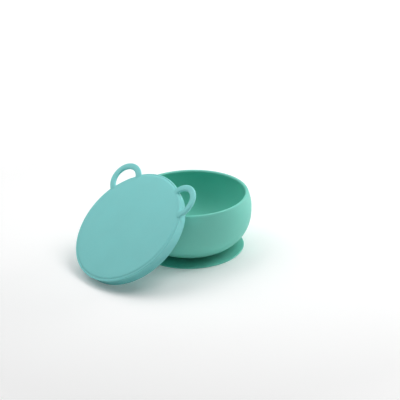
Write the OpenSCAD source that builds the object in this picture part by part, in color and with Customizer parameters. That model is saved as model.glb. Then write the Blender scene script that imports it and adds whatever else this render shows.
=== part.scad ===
// Silicone suction bowl for small children, with its round lid taken off and leaned on the rim.
// Origin: on the bowl's axis, in the plane of the table. +Z is up, and the lid leans from -X.

/* [Bowl] */
// Radius of the bowl at its widest place
belly_r = 62.5; // [50:0.5:80]
// Height of the widest place above the table
belly_z = 44; // [38:0.5:52]
// Height of the rim above the table
bowl_h = 60; // [54:0.5:72]
// Thickness of the bowl's wall
bowl_wall = 3.5; // [2.5:0.1:4.5]
// Thickness of the bowl's floor
floor_t = 3.4; // [2.5:0.1:5]
// Radius of the arc that draws the wall in from the belly to the rim
shoulder_r = 39.5; // [32:0.5:60]
// Height of the bowl's flat underside above the table
underside_z = 5.6; // [4.6:0.1:8]
// Half height of the rounded square that the wall follows below the belly
belly_drop = 47; // [45:0.5:52]
// Power of that rounded square: 2 is an ellipse, and more is squarer
belly_power = 2.36; // [2:0.02:3]

/* [Suction foot] */
// Radius of the suction cup's edge
cup_r = 54; // [46:0.5:62]
// Thickness of the cup's edge
cup_edge_t = 1.7; // [1.2:0.1:2.4]
// Thickness of the cup in its middle
cup_mid_t = 2; // [1.5:0.1:2.4]
// Height of the hollow under the cup's middle
cup_hollow = 1.8; // [1.2:0.1:2]
// Width of the flat ring that seals on the table
seal_w = 3.2; // [2:0.1:5]
// Radius of the stem between the cup and the bowl
stem_r = 24; // [16:0.5:30]

/* [Lid] */
// Radius of the lid at its upper edge
lid_r = 61.7; // [54:0.1:75]
// Radius of the lid outside, at the skirt's lower edge
skirt_r = 59.6; // [52:0.1:72]
// Height of the lid from its face to the skirt's lower edge
lid_h = 13.2; // [9:0.1:18]
// Thickness of the lid's round face
face_t = 2.6; // [2:0.1:3.5]
// Thickness of the skirt
skirt_t = 2.6; // [2:0.1:3.5]
// Radius of the slightly raised middle of the face
panel_r = 58; // [50:0.1:59]
// Step between the raised middle and the border
panel_step = 0.6; // [0.3:0.1:1]
// Rounding of the lid's upper edge
edge_round = 1; // [0.6:0.1:1.4]

/* [Ear loops] */
// Radius of an ear loop outside
ear_r = 18.5; // [15:0.1:22]
// Width of the band that the ear loop is made of
ear_band = 6.3; // [4.5:0.1:7.5]
// Thickness of that band
ear_t = 3.2; // [2.4:0.1:4]
// Half the angle between the two ears
ear_spread = 44.4; // [36:0.2:70]
// Distance of the ear's own centre inside the lid's edge
ear_inset = 0.8; // [0:0.1:3]
// Tilt of the ears out of the lid's plane
ear_rise = 5.5; // [0:0.5:12]
// Depth of the band's middle below the lid's face, where the ears start
ear_depth = 0.4; // [0:0.1:1.5]

/* [Leaning lid] */
// Distance from the middle of the lid's face up to where the face lies on the rim
rest_up = 23.1; // [16:0.1:30]
// Turn of the lid about its own axis, away from ears that point straight up the slope
lid_turn = 2.5; // [-10:0.5:10]

/* [Fits] */
// Gap between pieces that move against each other
gap = 0.3; // [0.2:0.05:0.5]

/* [Hidden] */
$fn = 96;
arc_steps = 24;
shoulder_steps = 8;
bead_steps = 8;
cup_steps = 16;
far = 200;
// how far the cup's thick middle reaches past the stem
pad_margin = 2;
// turns from an arc's first point to the curve that runs into it
bead_turn = 15;
edge_turn = 30;

// the bowl's rim is a half round bead as thick as the wall
rim_r = bowl_wall / 2;
rim_z = bowl_h - rim_r;
rim_tilt = asin((rim_z - belly_z) / (shoulder_r - rim_r));
rim_mid_r = belly_r - shoulder_r + (shoulder_r - rim_r) * cos(rim_tilt);
floor_z = underside_z + floor_t;
cup_mid_z = cup_hollow + cup_mid_t;
pad_r = stem_r + pad_margin;

// the skirt's rounded lower edge stands on the table, and the underside of the face lies on the rim
skirt_lip_r = skirt_t / 2;
lean_along = skirt_r - skirt_lip_r + rest_up;
lean_across = lid_h - skirt_lip_r - face_t - rim_r - gap;
lean = asin((rim_z - skirt_lip_r) / norm([lean_along, lean_across])) - atan2(lean_across, lean_along);
lid_z = (skirt_r - skirt_lip_r) * sin(lean) + (lid_h - skirt_lip_r) * cos(lean) + skirt_lip_r;
lid_x = rim_mid_r + ((rim_z - lid_z) * cos(lean) + face_t + rim_r + gap) / sin(lean);
ear_mid_r = ear_r - ear_band / 2;
ear_flat = ear_band - ear_t;
// each ear bends about a line that lies the gap away from the lid's rounded edge, where its legs start
ear_start_x = sqrt(pow(lid_r, 2) - pow(ear_mid_r - ear_flat / 2, 2)) - edge_round;
ear_axis_x = ear_start_x
    + sqrt(pow(edge_round + ear_t / 2 + gap, 2) - pow(panel_step + edge_round - ear_depth, 2));
ear_centre_x = lid_r - ear_inset - ear_axis_x;

// points on an arc, from one angle to another
function arc(mid, r, from, to, steps) = [
    for (i = [0 : steps])
        let (t = from + (to - from) * i / steps)
        [mid[0] + r * cos(t), mid[1] + r * sin(t)]
];

// points of a wall below the belly, from the belly down to bottom_z: a rounded square with half axes a and b
function belly_curve(a, b, bottom_z) =
    let (end = asin(pow((belly_z - bottom_z) / b, belly_power / 2)))
    [for (i = [0 : arc_steps])
        let (t = end * i / arc_steps)
        [a * pow(cos(t), 2 / belly_power), belly_z - b * pow(sin(t), 2 / belly_power)]];

// points of a wall above the belly, from the belly up to where the rim bead starts
function shoulder_curve(r) = arc([belly_r - shoulder_r, belly_z], r, 0, rim_tilt, shoulder_steps);

// an S-shaped fall from 1 at radius from_r to 0 at radius to_r
function ease(r, from_r, to_r) = (1 + cos(180 * (r - from_r) / (to_r - from_r))) / 2;

// the points in the opposite order
function reversed(points) = [for (i = [len(points) - 1 : -1 : 0]) points[i]];

// the open, round-bellied bowl with its beaded rim
module bowl_shell() {
    outside = concat(
        reversed(belly_curve(belly_r, belly_drop, underside_z)),
        shoulder_curve(shoulder_r)
    );
    bead_end = rim_tilt + 180 - bead_turn;
    bead = arc([rim_mid_r, rim_z], rim_r, rim_tilt + bead_turn, bead_end, bead_steps);
    inside = concat(
        reversed(shoulder_curve(shoulder_r - bowl_wall)),
        belly_curve(belly_r - bowl_wall, belly_drop - bowl_wall, floor_z)
    );
    color("mediumaquamarine") rotate_extrude()
        polygon(concat([[0, underside_z]], outside, bead, inside, [[0, floor_z]]));
}

// the short neck that carries the bowl on the suction cup
module stem() {
    color("seagreen") translate([0, 0, cup_mid_z + gap])
        cylinder(r = stem_r, h = underside_z - cup_mid_z - gap);
}

// the thin, hollow disc that grips the table
module suction_cup() {
    seal_r = cup_r - seal_w;
    edge_r = cup_edge_t / 2;
    top = [for (i = [0 : cup_steps])
        let (r = pad_r + (cup_r - edge_r - pad_r) * i / cup_steps)
        [r, cup_edge_t + (cup_mid_z - cup_edge_t) * ease(r, pad_r, cup_r - edge_r)]];
    edge = arc([cup_r - edge_r, edge_r], edge_r, 90 - edge_turn, -90, bead_steps);
    hollow = [for (i = [0 : cup_steps])
        let (r = seal_r + (pad_r - seal_r) * i / cup_steps)
        [r, cup_hollow * ease(r, pad_r, seal_r)]];
    color("mediumseagreen") rotate_extrude()
        polygon(concat([[0, cup_mid_z]], top, edge, hollow, [[0, cup_hollow]]));
}

// puts what it holds in the lid's place: its face in the XY plane, up the slope along +X
module on_lid() {
    translate([-lid_x, 0, lid_z]) rotate([0, -lean, 0]) rotate([0, 0, lid_turn]) children();
}

// the round face with its raised middle, a narrow border and a rounded edge
module lid_face() {
    border_z = -panel_step;
    edge = arc([lid_r - edge_round, border_z - edge_round], edge_round, 90, 0, bead_steps);
    color("paleturquoise") on_lid() rotate_extrude()
        polygon(concat(
            [[0, 0], [panel_r, 0], [panel_r + panel_step, border_z]],
            edge, [[lid_r, -face_t], [0, -face_t]]
        ));
}

// the wall below the face, which narrows towards its rounded lower edge
module lid_skirt() {
    lip = arc([skirt_r - skirt_lip_r, skirt_lip_r - lid_h], skirt_lip_r, 0, -180, bead_steps);
    color("turquoise") on_lid() rotate_extrude()
        polygon(concat([[lid_r - skirt_t, -face_t], [lid_r, -face_t]], lip));
}

// one finger loop, lying along +X from its bending line on the Y axis
module ear_loop() {
    intersection() {
        translate([ear_centre_x, 0, 0]) rotate_extrude() translate([ear_mid_r, 0]) {
            square([ear_flat, ear_t], center = true);
            for (side = [-1, 1]) translate([side * ear_flat / 2, 0]) circle(ear_t / 2, $fn = 32);
        }
        translate([0, -far / 2, -far / 2]) cube(far);
    }
    for (side = [-1, 1]) translate([0, side * ear_mid_r, 0]) rotate([90, 0, 0])
        cylinder(d = ear_t, h = ear_flat, center = true);
}

// puts an ear at its angle round the lid
module on_ear(angle) {
    on_lid() rotate([0, 0, angle]) translate([ear_axis_x, 0, -ear_depth]) rotate([0, -ear_rise, 0]) children();
}

module ear_left() {
    color("aquamarine") on_ear(ear_spread) ear_loop();
}

module ear_right() {
    color("aquamarine") on_ear(-ear_spread) ear_loop();
}

bowl_shell();
stem();
suction_cup();
lid_face();
lid_skirt();
ear_left();
ear_right();
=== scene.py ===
import math

import bmesh
import bpy
from bpy.props import FloatProperty, FloatVectorProperty, IntProperty, PointerProperty
from mathutils import Matrix, Vector


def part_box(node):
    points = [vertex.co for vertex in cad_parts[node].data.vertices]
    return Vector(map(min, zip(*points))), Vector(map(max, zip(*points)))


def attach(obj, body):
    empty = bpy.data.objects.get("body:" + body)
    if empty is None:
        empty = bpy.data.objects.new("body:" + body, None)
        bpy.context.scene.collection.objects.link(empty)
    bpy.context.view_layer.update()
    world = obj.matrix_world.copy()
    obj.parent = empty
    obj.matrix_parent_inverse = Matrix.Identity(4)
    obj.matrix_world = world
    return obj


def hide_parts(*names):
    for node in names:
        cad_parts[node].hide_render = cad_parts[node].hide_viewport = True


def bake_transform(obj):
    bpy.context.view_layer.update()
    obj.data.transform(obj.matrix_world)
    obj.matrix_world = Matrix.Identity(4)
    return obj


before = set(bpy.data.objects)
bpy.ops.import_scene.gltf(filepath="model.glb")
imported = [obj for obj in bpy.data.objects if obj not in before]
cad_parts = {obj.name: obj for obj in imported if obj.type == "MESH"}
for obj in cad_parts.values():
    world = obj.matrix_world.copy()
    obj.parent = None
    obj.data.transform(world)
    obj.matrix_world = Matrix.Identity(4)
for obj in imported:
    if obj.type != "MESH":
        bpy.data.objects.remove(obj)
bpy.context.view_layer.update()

bl_info = {
    "name": "Silicone Suction Bowl",
    "version": (1, 0, 0),
    "blender": (4, 5, 0),
    "location": "3D Viewport > Sidebar > Suction Bowl",
    "description": "Moulded silicone baby bowl with a suction foot and a lid with two ear loops",
    "category": "Add Mesh",
}

MM = 0.001

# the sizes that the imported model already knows
BOWL_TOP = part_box("bowl_shell")[1].z
BELLY_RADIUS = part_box("bowl_shell")[1].x
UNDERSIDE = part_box("bowl_shell")[0].z
CUP_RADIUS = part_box("suction_cup")[1].x
CUP_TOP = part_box("suction_cup")[1].z

# steps along each stretch of an outline
WALL_STEPS = 64
SHOULDER_STEPS = 16
BEAD_STEPS = 14
CUP_STEPS = 28
EDGE_STEPS = 10
SKIRT_STEPS = 16
BAND_STEPS = 40
MERGE_DISTANCE = 0.002 * MM

# shapes that no user needs to change
PANEL_SHARES = (0, 0.3, 0.6, 0.9)  # where the flat panel's rings lie, as shares of its radius
PAD_MARGIN = 2 * MM  # how far the cup's thick middle reaches past the neck
NECK_SHARE = 0.25  # share of the bowl's floor that the neck reaches into
CORNER_SHARE = 0.6  # inner rounding of the lid's corner, as a share of the skirt's thickness
BAND_POWER = 3.2  # power of the band's rounded section, where 2 is an ellipse
WEB_FADE = 0.7  # share of the band's width over which the flush edge fades out under a leg

# the silicone's patterns
MOTTLE = (0.985, 1.015)  # darkest and lightest share of the colour
MOTTLE_SCALE, BLOOM_SCALE, SATIN_SCALE, GRAIN_SCALE, WAVE_SCALE = 38, 900, 160, 2600, 55
BLOOM_COLOUR = (0.75, 0.85, 0.84, 1)
BLOOM_SHARE = 0.02
ROUGHNESS_SPREAD = (-0.05, 0.06)
GRAIN_STRENGTH, GRAIN_HEIGHT = 0.12, 0.05 * MM
WAVE_STRENGTH, WAVE_HEIGHT = 0.25, 0.15 * MM
SILICONE_IOR = 1.42
SHEEN_COLOUR = (0.72, 0.95, 0.92, 1)
SCATTER_COLOUR = (0.35, 1.0, 0.9)
SCATTER_DEPTH = 2.5 * MM

# where the painted shade on the skirt sets in and is full: below the face, out from the axis, and down the
# slope
SKIRT_PAINTED_SHADE_DEPTHS = (1.2 * MM, 2.4 * MM)
SKIRT_PAINTED_SHADE_RADII = (57.5 * MM, 58.8 * MM)
SKIRT_PAINTED_SHADE_SLOPE = (-28 * MM, 50 * MM)

# name, degrees round the object from the camera, degrees above the horizon, and width of each light
LIGHTS = (("back", 160, 66, 0.7), ("key", 80, 60, 0.5), ("low", 116, 14, 0.5), ("left", -110, 55, 0.7))
LIGHT_TARGET = (-0.02, 0, 0.03)
LIGHT_DISTANCE = 0.9
FLOOR_REACH = 6.0
FLOOR_DROP = 0.05 * MM  # keeps the floor just below what stands on it
FLOOR_COLOUR = (0.93, 0.93, 0.93, 1)
FAR_GLOW = 0.9
GLOW_DISTANCES = (0.3, 1.1)  # where the floor's far glow sets in and is full


def size(name, description, default, smallest, largest):
    """A length that a user may change."""
    return FloatProperty(
        name=name, description=description, default=default, min=smallest, max=largest,
        subtype="DISTANCE", unit="LENGTH", precision=4,
    )


def angle(name, description, degrees, smallest, largest):
    """An angle that a user may change, given in degrees."""
    return FloatProperty(
        name=name, description=description, default=math.radians(degrees),
        min=math.radians(smallest), max=math.radians(largest), subtype="ANGLE", unit="ROTATION",
    )


def number(name, description, default, smallest, largest):
    """A plain number that a user may change."""
    return FloatProperty(name=name, description=description, default=default, min=smallest, max=largest)


def colour(name, description, default):
    """A linear colour that a user may change."""
    return FloatVectorProperty(
        name=name, description=description, default=default, size=3, min=0.0, max=1.0, subtype="COLOR",
    )


class BowlSizes(bpy.types.PropertyGroup):
    """Sizes of the bowl moulding"""
    belly_radius: size("Belly Radius", "Radius of the bowl at its widest place", BELLY_RADIUS, 0.05, 0.08)
    belly_height: size("Belly Height", "Height of the widest place above the table", 0.044, 0.038, 0.052)
    height: size("Bowl Height", "Height of the rim above the table", BOWL_TOP, 0.054, 0.072)
    wall: size("Wall", "Thickness of the wall and the rounded rim", 0.0035, 0.0025, 0.0045)
    floor: size("Floor", "Thickness of the bowl's floor", 0.0034, 0.0025, 0.005)
    shoulder: size("Shoulder", "Radius of the arc between the belly and the rim", 0.0395, 0.032, 0.06)
    underside: size("Underside", "Height of the flat underside", UNDERSIDE, 0.0046, 0.008)
    drop: size("Belly Drop", "Half height of the rounded square below the belly", 0.047, 0.045, 0.052)
    power: number("Belly Power", "Power of that rounded square, where 2 is an ellipse", 2.36, 2.0, 3.0)
    floor_blend: size("Floor Blend", "Softness between the wall and the floor inside", 0.0055, 0.0, 0.01)
    underside_blend: size("Underside Blend", "Softness between the wall and the underside", 0.003, 0.0, 0.008)
    segments: IntProperty(name="Segments", description="Steps round the bowl", default=256, min=48, max=400)


class FootSizes(bpy.types.PropertyGroup):
    """Sizes of the suction cup and its neck"""
    radius: size("Cup Radius", "Radius of the suction cup", CUP_RADIUS, 0.046, 0.062)
    edge: size("Edge Thickness", "Thickness of the cup's edge", 0.0017, 0.0012, 0.0024)
    top: size("Cup Height", "Height of the cup's middle above the table", CUP_TOP, 0.003, 0.0045)
    hollow: size("Hollow", "Height of the hollow under the cup", 0.0018, 0.0012, 0.002)
    seal: size("Seal Width", "Width of the flat ring that seals on the table", 0.0032, 0.002, 0.005)
    stem: size("Neck Radius", "Radius of the neck under the bowl", 0.024, 0.016, 0.03)
    flare: size("Neck Flare", "Rounding where the neck meets the cup", 0.0008, 0.0004, 0.0009)


class LidSizes(bpy.types.PropertyGroup):
    """Sizes and place of the lid moulding"""
    radius: size("Lid Radius", "Radius of the lid at its upper edge", 0.0617, 0.054, 0.075)
    skirt_radius: size("Skirt Radius", "Radius of the skirt at its lower edge", 0.0596, 0.052, 0.072)
    height: size("Lid Height", "Height from the face to the skirt's lower edge", 0.0132, 0.009, 0.018)
    face: size("Face Thickness", "Thickness of the round face", 0.0026, 0.002, 0.0035)
    skirt: size("Skirt Thickness", "Thickness of the skirt", 0.0026, 0.002, 0.0035)
    panel_radius: size("Panel Radius", "Radius of the raised middle of the face", 0.058, 0.05, 0.059)
    panel_step: size("Panel Step", "Step between the middle and the border", 0.0006, 0.0003, 0.001)
    groove: size("Groove Depth", "Depth of the line round the panel below the border", 0.0001, 0.0, 0.0006)
    groove_radius: size("Groove Radius", "Radius of the line round the panel", 0.0600, 0.0585, 0.0605)
    panel_fall: size("Panel Fall", "Width over which the panel falls to the groove", 0.0019, 0.0005, 0.003)
    skirt_waist: size("Skirt Waist", "How far the skirt's wall curves in half way down", 0.0008, 0.0, 0.001)
    edge_round: size("Edge Rounding", "Rounding of the lid's upper edge", 0.001, 0.0006, 0.0014)
    web_round: size("Web Rounding", "Rounding of the lid's edge between an ear's legs", 0.003, 0.001, 0.005)
    web_inset: size("Web Inset", "How far that edge lies inside the lid's radius", 0.0003, 0.0, 0.001)
    rest_up: size("Rest Height", "Distance from the face's middle up to the rim", 0.0231, 0.016, 0.03)
    turn: angle("Turn", "Turn of the lid about its own axis", 2.5, -10, 10)
    gap: size("Gap", "Gap between the lid and the rim", 0.0003, 0.0002, 0.0005)


class EarSizes(bpy.types.PropertyGroup):
    """Sizes of the two ear loops"""
    radius: size("Ear Radius", "Radius of an ear loop outside", 0.0185, 0.015, 0.022)
    band: size("Band Width", "Width of the band", 0.0063, 0.0045, 0.0075)
    thickness: size("Band Thickness", "Thickness of the band", 0.0032, 0.0024, 0.004)
    spread: angle("Ear Spread", "Half the angle between the two ears", 44.4, 36, 70)
    inset: size("Ear Inset", "Distance of the ear's centre inside the lid's edge", 0.0008, 0.0, 0.003)
    rise: angle("Ear Rise", "Tilt of the ears out of the lid's plane", 5.5, 0, 12)
    depth: size("Ear Depth", "Depth of the band's middle below the face", 0.0004, 0.0, 0.0015)
    root: size("Root Length", "Length of each leg that runs into the lid", 0.0085, 0.006, 0.011)
    root_thinning: number("Root Thinning", "Share of its thickness that a leg's end loses", 0.45, 0.0, 0.6)
    root_flare: number("Root Flare", "Share of its width that a leg gains at its end", 0.25, 0.0, 0.5)
    segments: IntProperty(name="Segments", description="Steps along the loop", default=120, min=24, max=240)


class SiliconeFinish(bpy.types.PropertyGroup):
    """Colour and finish of the two mouldings, and the painted shade on the lid's skirt"""
    bowl_colour: colour("Bowl Colour", "Colour of the bowl and its foot", (0.190, 0.655, 0.545))
    lid_colour: colour("Lid Colour", "Colour of the lid and its ears", (0.240, 0.710, 0.700))
    # painted shade: the skirt's colour is multiplied by this, deepest at its lowest point, where shade falls
    skirt_painted_shade: colour("Skirt Painted Shade", "Share of its colour that the lowest skirt keeps", (0.56, 0.68, 0.68))
    roughness: number("Roughness", "Roughness of the satin skin", 0.62, 0.2, 0.9)
    sheen: number("Sheen", "Strength of the soft sheen at grazing angles", 0.08, 0.0, 1.0)
    translucency: number("Translucency", "Share of light that scatters in the rubber", 0.12, 0.0, 1.0)


class StageSettings(bpy.types.PropertyGroup):
    """Camera and studio light"""
    lens: FloatProperty(name="Lens", description="Focal length", default=120.66, min=50, max=200)
    distance: size("Distance", "Distance from the camera to the aim point", 1.36567, 0.8, 3.0)
    azimuth: angle("Azimuth", "Direction of the camera round the bowl", -38.330, -180, 180)
    elevation: angle("Elevation", "Height of the camera above the horizon", 23.908, 0, 90)
    roll: angle("Roll", "Tilt of the camera about its own view", -1.825, -10, 10)
    aim: FloatVectorProperty(
        name="Aim", description="Point that the camera looks at", default=(0.01303, -0.00029, 0.04729),
        subtype="TRANSLATION", unit="LENGTH",
    )
    back: number("Back Light", "Power of the high light behind the bowl, in watts", 3.0, 0.0, 100.0)
    key: number("Key Light", "Power of the high light at the right, in watts", 3.1, 0.0, 100.0)
    low: number("Low Light", "Power of the low light at the right, in watts", 2.4, 0.0, 100.0)
    left: number("Left Light", "Power of the high light at the left, in watts", 3.3, 0.0, 100.0)
    world: number("World Light", "Strength of the white surroundings", 0.07, 0.0, 3.0)
    floor_glow: number("Floor Glow", "Light from the pale floor, which softens its shadows", 0.12, 0.0, 1.0)


class SuctionBowlSettings(bpy.types.PropertyGroup):
    """All settings of the suction bowl"""
    bowl: PointerProperty(type=BowlSizes)
    foot: PointerProperty(type=FootSizes)
    lid: PointerProperty(type=LidSizes)
    ears: PointerProperty(type=EarSizes)
    finish: PointerProperty(type=SiliconeFinish)
    stage: PointerProperty(type=StageSettings)


# ---------------------------------------------------------------- outlines

def arc(middle, radius, start, end, steps):
    """Points on an arc, from one angle to another."""
    return [
        (middle[0] + radius * math.cos(t), middle[1] + radius * math.sin(t))
        for t in (start + (end - start) * i / steps for i in range(steps + 1))
    ]


def higher_softly(a, b, blend):
    """The higher of two heights, rounded where they meet."""
    if blend <= 0:
        return max(a, b)
    near = max(blend - abs(a - b), 0) / blend
    return max(a, b) + near * near * blend / 4


def ease(r, start, end):
    """An S-shaped fall from 1 at radius start to 0 at radius end."""
    share = min(max((r - start) / (end - start), 0), 1)
    return (1 + math.cos(math.pi * share)) / 2


def wall_below_belly(sizes, inset, level, blend):
    """Points of the wall from the belly down to a flat level and in to the axis: a rounded square."""
    half_width = sizes.belly_radius - inset
    half_drop = sizes.drop - inset
    points = []
    for i in range(WALL_STEPS + 1):
        t = math.pi / 2 * i / WALL_STEPS
        r = half_width * max(math.cos(t), 0) ** (2 / sizes.power)
        z = sizes.belly_height - half_drop * math.sin(t) ** (2 / sizes.power)
        points.append((0 if i == WALL_STEPS else r, higher_softly(z, level, blend)))
    return points


def rim_centre(sizes):
    """Radius and height of the rounded rim's middle, and the angle at which the wall runs into the rim."""
    bead = sizes.wall / 2
    middle = sizes.shoulder - bead
    tilt = math.asin((sizes.height - bead - sizes.belly_height) / middle)
    return sizes.belly_radius - sizes.shoulder + middle * math.cos(tilt), sizes.height - bead, tilt


def bowl_outline(sizes):
    """Half section of the bowl, from the axis under its floor, up over the rim and back to the axis."""
    rim_r, rim_z, tilt = rim_centre(sizes)
    shoulder = (sizes.belly_radius - sizes.shoulder, sizes.belly_height)
    outside = wall_below_belly(sizes, 0, sizes.underside, sizes.underside_blend)[::-1]
    outside += arc(shoulder, sizes.shoulder, 0, tilt, SHOULDER_STEPS)[1:]
    bead = arc((rim_r, rim_z), sizes.wall / 2, tilt, tilt + math.pi, BEAD_STEPS)[1:-1]
    inside = arc(shoulder, sizes.shoulder - sizes.wall, tilt, 0, SHOULDER_STEPS)
    floor = sizes.underside + sizes.floor
    inside += wall_below_belly(sizes, sizes.wall, floor, sizes.floor_blend)[1:]
    return outside + bead + inside


def foot_outline(sizes, bowl):
    """Half section of the cup and its neck, from the axis in the hollow, out, and back over the top."""
    seal_r = sizes.radius - sizes.seal
    edge_r = sizes.edge / 2
    start_r = sizes.stem + PAD_MARGIN
    hollow = [(0, sizes.hollow)] + [
        (r, sizes.hollow * ease(r, start_r, seal_r))
        for r in (start_r + (seal_r - start_r) * i / CUP_STEPS for i in range(CUP_STEPS + 1))
    ]
    edge = arc((sizes.radius - edge_r, edge_r), edge_r, -math.pi / 2, math.pi / 2, BEAD_STEPS)
    outer = sizes.radius - edge_r
    top = [
        (r, sizes.edge + (sizes.top - sizes.edge) * ease(r, start_r, outer))
        for r in (outer + (start_r - outer) * i / CUP_STEPS for i in range(1, CUP_STEPS + 1))
    ]
    flare = arc(
        (sizes.stem + sizes.flare, sizes.top + sizes.flare), sizes.flare,
        -math.pi / 2, -math.pi, BEAD_STEPS,
    )
    inside_bowl = bowl.underside + bowl.floor * NECK_SHARE
    return hollow + edge + top + flare + [(sizes.stem, inside_bowl), (0, inside_bowl)]


def lid_outline(sizes):
    """Half section of the lid, from the middle of its face, down the skirt and back underneath."""
    border = -sizes.panel_step
    groove = border - sizes.groove
    fall_start = sizes.groove_radius - sizes.panel_fall
    ridge_r = sizes.radius - sizes.edge_round
    panel = [(sizes.panel_radius * share, 0) for share in PANEL_SHARES]
    fall = [
        (r, groove * (1 - ease(r, fall_start, sizes.groove_radius)))
        for r in (fall_start + sizes.panel_fall * i / EDGE_STEPS for i in range(EDGE_STEPS + 1))
    ]
    rise = [
        (r, groove + (border - groove) * (1 - ease(r, sizes.groove_radius, ridge_r)))
        for r in (
            sizes.groove_radius + (ridge_r - sizes.groove_radius) * i / EDGE_STEPS
            for i in range(1, EDGE_STEPS)
        )
    ]
    edge = arc((ridge_r, border - sizes.edge_round), sizes.edge_round, math.pi / 2, 0, EDGE_STEPS)
    lip_r = sizes.skirt / 2
    lip = arc((sizes.skirt_radius - lip_r, lip_r - sizes.height), lip_r, 0, -math.pi, BEAD_STEPS)
    (top_r, top_z), (low_r, low_z) = edge[-1], lip[0]
    wall = [
        (
            top_r + (low_r - top_r) * share - sizes.skirt_waist * math.sin(math.pi * share),
            top_z + (low_z - top_z) * share,
        )
        for share in (i / SKIRT_STEPS for i in range(1, SKIRT_STEPS))
    ]
    corner = sizes.skirt * CORNER_SHARE
    inner_r = sizes.radius - sizes.skirt - corner
    under = arc((inner_r, -sizes.face - corner), corner, 0, math.pi / 2, BEAD_STEPS)
    return panel + fall + rise + edge + wall + lip + under + [(0, -sizes.face)]


def band_outline(sizes):
    """Closed section of the ear's band about its own middle: a flat oval, softly squared."""
    power = 2 / BAND_POWER
    points = []
    for i in range(BAND_STEPS):
        t = 2 * math.pi * i / BAND_STEPS
        u = math.copysign(abs(math.cos(t)) ** power, math.cos(t)) * sizes.band / 2
        v = math.copysign(abs(math.sin(t)) ** power, math.sin(t)) * sizes.thickness / 2
        points.append((sizes.radius - sizes.band / 2 + u, v))
    return points + points[:1]


# ---------------------------------------------------------------- turned mouldings

def add_input(tree, name, kind, default=None):
    """Adds a named input to a tree."""
    socket = tree.interface.new_socket(name=name, in_out="INPUT", socket_type=kind)
    if default is not None:
        socket.default_value = default
    return socket


def maths(tree, operation, a, b=None):
    """Adds a maths node and returns its result."""
    node = tree.nodes.new("ShaderNodeMath")
    node.operation = operation
    for socket, value in zip(node.inputs, (a, b)):
        if value is None:
            continue
        if isinstance(value, (int, float)):
            socket.default_value = value
        else:
            tree.links.new(value, socket)
    return node.outputs[0]


def turning_tree():
    """Geometry nodes that turn a half section about the Z axis: a grid with the section in each row."""
    tree = bpy.data.node_groups.new("Turned Moulding", "GeometryNodeTree")
    tree.interface.new_socket(name="Geometry", in_out="OUTPUT", socket_type="NodeSocketGeometry")
    add_input(tree, "Section", "NodeSocketGeometry")
    add_input(tree, "Segments", "NodeSocketInt", 256)
    add_input(tree, "Start Angle", "NodeSocketFloat", 0.0)
    add_input(tree, "Sweep", "NodeSocketFloat", 2 * math.pi)
    add_input(tree, "Merge Distance", "NodeSocketFloat", MERGE_DISTANCE)
    add_input(tree, "Finish", "NodeSocketMaterial")
    new, link = tree.nodes.new, tree.links.new
    group_in, group_out = new("NodeGroupInput"), new("NodeGroupOutput")
    section_size = new("GeometryNodeAttributeDomainSize")
    link(group_in.outputs["Section"], section_size.inputs[0])
    count = section_size.outputs["Point Count"]
    grid = new("GeometryNodeMeshGrid")
    link(maths(tree, "ADD", group_in.outputs["Segments"], 1), grid.inputs["Vertices X"])
    link(count, grid.inputs["Vertices Y"])
    index = new("GeometryNodeInputIndex").outputs[0]
    row = maths(tree, "FLOOR", maths(tree, "DIVIDE", maths(tree, "ADD", index, 0.5), count))
    place = maths(tree, "SUBTRACT", index, maths(tree, "MULTIPLY", row, count))
    sample = new("GeometryNodeSampleIndex")
    sample.data_type = "FLOAT_VECTOR"
    position = new("GeometryNodeInputPosition")
    link(group_in.outputs["Section"], sample.inputs["Geometry"])
    link(position.outputs[0], sample.inputs["Value"])
    link(place, sample.inputs["Index"])
    turn = maths(tree, "DIVIDE", group_in.outputs["Sweep"], group_in.outputs["Segments"])
    turn = maths(tree, "ADD", maths(tree, "MULTIPLY", row, turn), group_in.outputs["Start Angle"])
    rotate = new("ShaderNodeVectorRotate")
    rotate.rotation_type = "Z_AXIS"
    link(sample.outputs["Value"], rotate.inputs["Vector"])
    link(turn, rotate.inputs["Angle"])
    move = new("GeometryNodeSetPosition")
    link(grid.outputs["Mesh"], move.inputs["Geometry"])
    link(rotate.outputs[0], move.inputs["Position"])
    merge = new("GeometryNodeMergeByDistance")
    link(move.outputs[0], merge.inputs["Geometry"])
    link(group_in.outputs["Merge Distance"], merge.inputs["Distance"])
    realize = new("GeometryNodeRealizeInstances")
    link(merge.outputs[0], realize.inputs[0])
    finish = new("GeometryNodeSetMaterial")
    link(realize.outputs[0], finish.inputs["Geometry"])
    link(group_in.outputs["Finish"], finish.inputs["Material"])
    link(finish.outputs[0], group_out.inputs[0])
    return tree


def turned(name, outline, finish, segments, start=0.0, sweep=2 * math.pi):
    """A new object whose mesh is the outline (radius, height) turned about the Z axis."""
    section = bpy.data.meshes.new(name + "_section")
    section.from_pydata([(r, 0, z) for r, z in outline], [(i, i + 1) for i in range(len(outline) - 1)], [])
    obj = bpy.data.objects.new(name, section)
    bpy.context.scene.collection.objects.link(obj)
    tree = bpy.data.node_groups.get("Turned Moulding") or turning_tree()
    turning = obj.modifiers.new("Turning", "NODES")
    turning.node_group = tree
    values = {"Segments": segments, "Start Angle": start, "Sweep": sweep, "Finish": finish}
    for item in tree.interface.items_tree:
        if item.in_out == "INPUT" and item.name in values:
            turning[item.identifier] = values[item.name]
    evaluated = obj.evaluated_get(bpy.context.evaluated_depsgraph_get())
    mesh = bpy.data.meshes.new_from_object(evaluated)
    obj.modifiers.clear()
    obj.data = mesh
    mesh.name = name
    mesh.materials.clear()
    mesh.materials.append(finish)
    mesh.polygons.foreach_set("material_index", [0] * len(mesh.polygons))
    bpy.data.meshes.remove(section)
    if not mesh.polygons:
        raise RuntimeError(f"{name} came out empty")
    return obj


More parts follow.
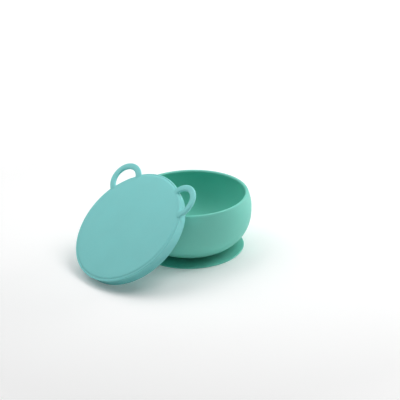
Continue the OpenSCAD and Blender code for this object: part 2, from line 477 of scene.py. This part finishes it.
def close_and_smooth(obj):
    """Closes open ends, points the faces outwards and shades the surface smooth."""
    shape = bmesh.new()
    shape.from_mesh(obj.data)
    bmesh.ops.dissolve_degenerate(shape, dist=MERGE_DISTANCE, edges=shape.edges)
    ends = [edge for edge in shape.edges if edge.is_boundary]
    if ends:
        bmesh.ops.holes_fill(shape, edges=ends)
    bmesh.ops.recalc_face_normals(shape, faces=shape.faces)
    if shape.calc_volume(signed=True) < 0:
        bmesh.ops.reverse_faces(shape, faces=shape.faces)
    for face in shape.faces:
        face.smooth = True
    shape.to_mesh(obj.data)
    shape.free()
    obj.data.update()


# ---------------------------------------------------------------- silicone

def ramp(tree, value, low, high, smooth=True):
    """Share that rises from 0 to 1 while a value goes from low to high."""
    node = tree.nodes.new("ShaderNodeMapRange")
    node.interpolation_type = "SMOOTHSTEP" if smooth else "LINEAR"
    node.inputs["From Min"].default_value = low
    node.inputs["From Max"].default_value = high
    tree.links.new(value, node.inputs["Value"])
    return node.outputs["Result"]


def skirt_painted_shade_share(tree, place, lid):
    """Mask of the painted shade: 0 on the lid's face and underside, rising on the skirt towards its lowest
    point, where shade falls.
    """
    new, link = tree.nodes.new, tree.links.new
    inverse = lid.inverted()
    own = new("ShaderNodeMapping")
    own.inputs["Location"].default_value = inverse.translation
    own.inputs["Rotation"].default_value = inverse.to_euler()
    link(place, own.inputs["Vector"])
    parts = new("ShaderNodeSeparateXYZ")
    link(own.outputs["Vector"], parts.inputs[0])
    flat = new("ShaderNodeCombineXYZ")
    link(parts.outputs["X"], flat.inputs["X"])
    link(parts.outputs["Y"], flat.inputs["Y"])
    radius = new("ShaderNodeVectorMath")
    radius.operation = "LENGTH"
    link(flat.outputs["Vector"], radius.inputs[0])
    below = ramp(tree, maths(tree, "MULTIPLY", parts.outputs["Z"], -1), *SKIRT_PAINTED_SHADE_DEPTHS)
    outside = ramp(tree, radius.outputs["Value"], *SKIRT_PAINTED_SHADE_RADII)
    lower = ramp(tree, maths(tree, "MULTIPLY", parts.outputs["X"], -1), *SKIRT_PAINTED_SHADE_SLOPE, smooth=False)
    return maths(tree, "MULTIPLY", maths(tree, "MULTIPLY", below, outside), lower)


def silicone(name, base, settings, lid=None):
    """Satin silicone rubber: a faint mottle, a fine moulded grain, slow waves and a soft sheen.

    Given the lid's place, the skirt's wall gets a painted shade that deepens towards its lowest point.
    """
    finish = bpy.data.materials.new(name)
    finish.use_nodes = True
    nodes, links = finish.node_tree.nodes, finish.node_tree.links
    shader = nodes["Principled BSDF"]
    place = nodes.new("ShaderNodeTexCoord").outputs["Object"]

    def noise(scale, detail, roughness=0.5):
        texture = nodes.new("ShaderNodeTexNoise")
        texture.inputs["Scale"].default_value = scale
        texture.inputs["Detail"].default_value = detail
        texture.inputs["Roughness"].default_value = roughness
        links.new(place, texture.inputs["Vector"])
        return texture.outputs["Fac"]

    def spread(value, low, high):
        """Stretches a noise's usual range to the range given."""
        node = nodes.new("ShaderNodeMapRange")
        node.inputs["From Min"].default_value = 0.3
        node.inputs["From Max"].default_value = 0.7
        node.inputs["To Min"].default_value = low
        node.inputs["To Max"].default_value = high
        links.new(value, node.inputs["Value"])
        return node.outputs["Result"]

    mottle = nodes.new("ShaderNodeMix")
    mottle.data_type = "RGBA"
    links.new(spread(noise(MOTTLE_SCALE, 4), 0, 1), mottle.inputs["Factor"])
    for socket, share in zip("AB", MOTTLE):
        mottle.inputs[socket].default_value = (*(min(share * c, 1) for c in base), 1)
    mottle_then_painted_shade = mottle
    # painted shade: the lid's skirt is darkened towards its lowest point; the bowl keeps its mottle alone
    if lid:
        mottle_then_painted_shade = nodes.new("ShaderNodeMix")
        mottle_then_painted_shade.data_type = "RGBA"
        mottle_then_painted_shade.blend_type = "MULTIPLY"
        links.new(skirt_painted_shade_share(finish.node_tree, place, lid), mottle_then_painted_shade.inputs["Factor"])
        links.new(mottle.outputs["Result"], mottle_then_painted_shade.inputs["A"])
        mottle_then_painted_shade.inputs["B"].default_value = (*settings.skirt_painted_shade, 1)
    bloom = nodes.new("ShaderNodeMix")
    bloom.data_type = "RGBA"
    links.new(spread(noise(BLOOM_SCALE, 3, 0.6), 0, BLOOM_SHARE), bloom.inputs["Factor"])
    links.new(mottle_then_painted_shade.outputs["Result"], bloom.inputs["A"])
    bloom.inputs["B"].default_value = BLOOM_COLOUR
    links.new(bloom.outputs["Result"], shader.inputs["Base Color"])

    satin = spread(noise(SATIN_SCALE, 5), *(settings.roughness + shift for shift in ROUGHNESS_SPREAD))
    links.new(satin, shader.inputs["Roughness"])
    grain = nodes.new("ShaderNodeBump")
    grain.inputs["Strength"].default_value = GRAIN_STRENGTH
    grain.inputs["Distance"].default_value = GRAIN_HEIGHT
    links.new(noise(GRAIN_SCALE, 2), grain.inputs["Height"])
    waves = nodes.new("ShaderNodeBump")
    waves.inputs["Strength"].default_value = WAVE_STRENGTH
    waves.inputs["Distance"].default_value = WAVE_HEIGHT
    links.new(noise(WAVE_SCALE, 1), waves.inputs["Height"])
    links.new(grain.outputs["Normal"], waves.inputs["Normal"])
    links.new(waves.outputs["Normal"], shader.inputs["Normal"])

    shader.inputs["IOR"].default_value = SILICONE_IOR
    shader.inputs["Sheen Weight"].default_value = settings.sheen
    shader.inputs["Sheen Roughness"].default_value = 0.45
    shader.inputs["Sheen Tint"].default_value = SHEEN_COLOUR
    shader.inputs["Subsurface Weight"].default_value = settings.translucency
    shader.inputs["Subsurface Radius"].default_value = SCATTER_COLOUR
    shader.inputs["Subsurface Scale"].default_value = SCATTER_DEPTH
    return finish


def moulding_finish(which):
    """The finish of the bowl's or the lid's rubber, made once."""
    sizes = bpy.context.scene.suction_bowl
    base = {"bowl": sizes.finish.bowl_colour, "lid": sizes.finish.lid_colour}[which]
    lid = lid_place(sizes.lid, sizes.bowl) if which == "lid" else None
    name = "satin_" + which + "_rubber"
    return bpy.data.materials.get(name) or silicone(name, tuple(base), sizes.finish, lid)


# ---------------------------------------------------------------- the lid's place

def lid_place(sizes, bowl):
    """Matrix that leans the lid on the rim: its skirt on the table and its face's underside on the rim."""
    rim_r, rim_z, _ = rim_centre(bowl)
    bead = bowl.wall / 2
    lip_r = sizes.skirt / 2
    along = sizes.skirt_radius - lip_r + sizes.rest_up
    across = sizes.height - lip_r - sizes.face - bead - sizes.gap
    lean = math.asin((rim_z - lip_r) / math.hypot(along, across)) - math.atan2(across, along)
    z = (sizes.skirt_radius - lip_r) * math.sin(lean) + (sizes.height - lip_r) * math.cos(lean) + lip_r
    x = rim_r + ((rim_z - z) * math.cos(lean) + sizes.face + bead + sizes.gap) / math.sin(lean)
    return (
        Matrix.Translation((-x, 0, z))
        @ Matrix.Rotation(-lean, 4, "Y")
        @ Matrix.Rotation(sizes.turn, 4, "Z")
    )


def ear_start(sizes, lid):
    """Distance from the lid's axis to the line about which an ear bends."""
    middle = sizes.radius - sizes.band / 2
    flat = sizes.band - sizes.thickness
    edge = math.sqrt(lid.radius ** 2 - (middle - flat / 2) ** 2) - lid.edge_round
    reach = lid.edge_round + sizes.thickness / 2 + lid.gap
    below = lid.panel_step + lid.edge_round - sizes.depth
    return edge + math.sqrt(reach ** 2 - below ** 2)


# ---------------------------------------------------------------- operators

class SUCTION_BOWL_OT_bowl(bpy.types.Operator):
    """Make the round-bellied bowl with its rounded rim"""
    bl_idname = "suction_bowl.bowl"
    bl_label = "Make Bowl"

    def execute(self, context):
        sizes = context.scene.suction_bowl.bowl
        bowl = turned("bowl", bowl_outline(sizes), moulding_finish("bowl"), sizes.segments)
        close_and_smooth(bowl)
        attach(bowl, "bowl")
        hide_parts("bowl_shell")
        return {"FINISHED"}


class SUCTION_BOWL_OT_foot(bpy.types.Operator):
    """Make the suction cup and the neck that carries the bowl"""
    bl_idname = "suction_bowl.foot"
    bl_label = "Make Suction Foot"

    def execute(self, context):
        settings = context.scene.suction_bowl
        sizes = settings.foot
        outline = foot_outline(sizes, settings.bowl)
        foot = turned("suction_foot", outline, moulding_finish("bowl"), settings.bowl.segments)
        close_and_smooth(foot)
        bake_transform(foot)
        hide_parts("suction_cup", "stem")
        return {"FINISHED"}


def flush_edge_at_ears(lid, sizes, ears):
    """Gives the lid a flush, well rounded edge between the legs of each ear, where the rubber is one web."""
    leg_inside = ears.radius - ears.band
    fade_end = leg_inside + ears.band * WEB_FADE
    middle = sizes.radius - sizes.web_inset - sizes.web_round
    for vertex in lid.data.vertices:
        x, y, z = vertex.co
        spoke = math.hypot(x, y)
        on_panel = spoke < sizes.groove_radius - sizes.panel_fall
        if on_panel or x <= 0 or z < -sizes.face - sizes.panel_step:
            continue
        away = min(abs(spoke * math.sin(math.atan2(y, x) - side * ears.spread)) for side in (-1, 1))
        web = ease(away, leg_inside, fade_end)
        slope = min(math.atan2(z + sizes.web_round, spoke - middle), math.pi / 2)
        if spoke <= middle:
            new_spoke, new_z = spoke, 0
        elif slope > 0:
            new_spoke = middle + sizes.web_round * math.cos(slope)
            new_z = sizes.web_round * (math.sin(slope) - 1)
        else:
            continue
        stretch = (spoke + (new_spoke - spoke) * web) / spoke
        vertex.co = (x * stretch, y * stretch, z + (new_z - z) * web)


class SUCTION_BOWL_OT_lid(bpy.types.Operator):
    """Make the lid with its raised panel, groove and skirt, leaning on the rim"""
    bl_idname = "suction_bowl.lid"
    bl_label = "Make Lid"

    def execute(self, context):
        settings = context.scene.suction_bowl
        sizes = settings.lid
        lid = turned("lid", lid_outline(sizes), moulding_finish("lid"), settings.bowl.segments)
        close_and_smooth(lid)
        flush_edge_at_ears(lid, sizes, settings.ears)
        lid.data.transform(lid_place(sizes, settings.bowl))
        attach(lid, "lid")
        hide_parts("lid_face", "lid_skirt")
        return {"FINISHED"}


class SUCTION_BOWL_OT_ears(bpy.types.Operator):
    """Make the two ear loops that run into the lid's border"""
    bl_idname = "suction_bowl.ears"
    bl_label = "Make Ear Loops"

    def make_ear(self, settings, name, body, node, angle_round):
        """One ear: a turned band, wider and thinner at its roots, put at its angle round the lid."""
        sizes, lid = settings.ears, settings.lid
        axis_x = ear_start(sizes, lid)
        centre_x = lid.radius - sizes.inset - axis_x
        middle = sizes.radius - sizes.band / 2
        beyond = math.asin((sizes.root + centre_x) / middle)
        half = math.pi / 2 + beyond
        ear = turned(name, band_outline(sizes), moulding_finish("lid"), sizes.segments, -half, 2 * half)
        close_and_smooth(ear)
        for vertex in ear.data.vertices:
            x, y, z = vertex.co
            spoke = math.hypot(x, y)
            along = 1 - ease(-(x + centre_x), 0, sizes.root)
            flared = 1 - (middle / spoke - 1) * sizes.root_flare * along
            vertex.co = (x * flared + centre_x, y * flared, z * (1 - sizes.root_thinning * along))
        place = (
            lid_place(lid, settings.bowl)
            @ Matrix.Rotation(angle_round, 4, "Z")
            @ Matrix.Translation((axis_x, 0, -sizes.depth))
            @ Matrix.Rotation(-sizes.rise, 4, "Y")
        )
        ear.data.transform(place)
        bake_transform(ear)
        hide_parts(node)

    def execute(self, context):
        settings = context.scene.suction_bowl
        self.make_ear(settings, "ear_loop_left", "left_ear", "ear_left", settings.ears.spread)
        self.make_ear(settings, "ear_loop_right", "right_ear", "ear_right", -settings.ears.spread)
        return {"FINISHED"}


def area_light(name, place, target, width, watts):
    """A soft square light that faces a point."""
    lamp = bpy.data.lights.new(name, "AREA")
    lamp.size = width
    lamp.energy = watts
    obj = bpy.data.objects.new(name, lamp)
    obj.location = place
    obj.rotation_euler = (Vector(target) - Vector(place)).to_track_quat("-Z", "Y").to_euler()
    bpy.context.scene.collection.objects.link(obj)
    return obj


def direction(azimuth, elevation):
    """Unit vector towards a place round the object, at the azimuth and elevation of a camera there."""
    return Vector((
        math.sin(azimuth) * math.cos(elevation),
        -math.cos(azimuth) * math.cos(elevation),
        math.sin(elevation),
    ))


def pale_floor(settings):
    """A plain pale floor that glows a little, and more where it lies beyond the lights' reach."""
    paint = bpy.data.materials.new("pale_floor")
    paint.use_nodes = True
    nodes, links = paint.node_tree.nodes, paint.node_tree.links
    shader = nodes["Principled BSDF"]
    shader.inputs["Base Color"].default_value = FLOOR_COLOUR
    shader.inputs["Roughness"].default_value = 0.9
    shader.inputs["Specular IOR Level"].default_value = 0.1
    shader.inputs["Emission Color"].default_value = (1, 1, 1, 1)
    away = nodes.new("ShaderNodeVectorMath")
    away.operation = "LENGTH"
    links.new(nodes.new("ShaderNodeTexCoord").outputs["Object"], away.inputs[0])
    glow = nodes.new("ShaderNodeMapRange")
    glow.inputs["From Min"].default_value, glow.inputs["From Max"].default_value = GLOW_DISTANCES
    glow.inputs["To Min"].default_value = settings.floor_glow
    glow.inputs["To Max"].default_value = FAR_GLOW
    links.new(away.outputs["Value"], glow.inputs["Value"])
    links.new(glow.outputs["Result"], shader.inputs["Emission Strength"])
    return paint


class SUCTION_BOWL_OT_stage(bpy.types.Operator):
    """Make the pale floor, the camera and the soft studio light"""
    bl_idname = "suction_bowl.stage"
    bl_label = "Make Stage"

    def execute(self, context):
        settings = context.scene.suction_bowl.stage
        floor_mesh = bpy.data.meshes.new("floor")
        corners = [
            (FLOOR_REACH * x, FLOOR_REACH * y, -FLOOR_DROP) for x, y in ((-1, -1), (1, -1), (1, 1), (-1, 1))
        ]
        floor_mesh.from_pydata(corners, [], [(0, 1, 2, 3)])
        floor = bpy.data.objects.new("floor", floor_mesh)
        context.scene.collection.objects.link(floor)
        floor.data.materials.append(pale_floor(settings))

        aim = Vector(settings.aim)
        back = direction(settings.azimuth, settings.elevation)
        lens = bpy.data.cameras.new("camera")
        lens.lens = settings.lens
        camera = bpy.data.objects.new("camera", lens)
        facing = (-back).to_track_quat("-Z", "Y").to_matrix().to_4x4()
        camera.matrix_world = (
            Matrix.Translation(aim + back * settings.distance) @ facing
            @ Matrix.Rotation(settings.roll, 4, "Z")
        )
        context.scene.collection.objects.link(camera)
        context.scene.camera = camera

        target = Vector(LIGHT_TARGET)
        for name, round_by, height, width in LIGHTS:
            towards = direction(settings.azimuth + math.radians(round_by), math.radians(height))
            area_light(name, target + LIGHT_DISTANCE * towards, target, width, getattr(settings, name))
        world = bpy.data.worlds.new("studio")
        world.use_nodes = True
        world.node_tree.nodes["Background"].inputs["Color"].default_value = (1, 1, 1, 1)
        world.node_tree.nodes["Background"].inputs["Strength"].default_value = settings.world
        context.scene.world = world
        context.scene.view_settings.view_transform = "Standard"
        return {"FINISHED"}


class SUCTION_BOWL_PT_panel(bpy.types.Panel):
    """The suction bowl's sizes, finishes and operators"""
    bl_idname = "SUCTION_BOWL_PT_panel"
    bl_label = "Suction Bowl"
    bl_space_type = "VIEW_3D"
    bl_region_type = "UI"
    bl_category = "Suction Bowl"

    def draw(self, context):
        settings = context.scene.suction_bowl
        for title, group, operator in (
            ("Bowl", settings.bowl, SUCTION_BOWL_OT_bowl),
            ("Suction Foot", settings.foot, SUCTION_BOWL_OT_foot),
            ("Lid", settings.lid, SUCTION_BOWL_OT_lid),
            ("Ear Loops", settings.ears, SUCTION_BOWL_OT_ears),
            ("Finish", settings.finish, None),
            ("Stage", settings.stage, SUCTION_BOWL_OT_stage),
        ):
            box = self.layout.box()
            box.label(text=title)
            for key in group.bl_rna.properties.keys():
                if key not in ("rna_type", "name"):
                    box.prop(group, key)
            if operator:
                box.operator(operator.bl_idname)


CLASSES = (
    BowlSizes, FootSizes, LidSizes, EarSizes, SiliconeFinish, StageSettings, SuctionBowlSettings,
    SUCTION_BOWL_OT_bowl, SUCTION_BOWL_OT_foot, SUCTION_BOWL_OT_lid, SUCTION_BOWL_OT_ears,
    SUCTION_BOWL_OT_stage, SUCTION_BOWL_PT_panel,
)


def register():
    """Register the classes and the scene's settings."""
    for cls in CLASSES:
        bpy.utils.register_class(cls)
    bpy.types.Scene.suction_bowl = PointerProperty(type=SuctionBowlSettings)


def unregister():
    """Remove the scene's settings and the classes."""
    del bpy.types.Scene.suction_bowl
    for cls in reversed(CLASSES):
        bpy.utils.unregister_class(cls)


def main():
    """Make every piece and the stage in order."""
    register()
    bpy.ops.suction_bowl.bowl()
    bpy.ops.suction_bowl.foot()
    bpy.ops.suction_bowl.lid()
    bpy.ops.suction_bowl.ears()
    bpy.ops.suction_bowl.stage()


if __name__ == "__main__":
    main()
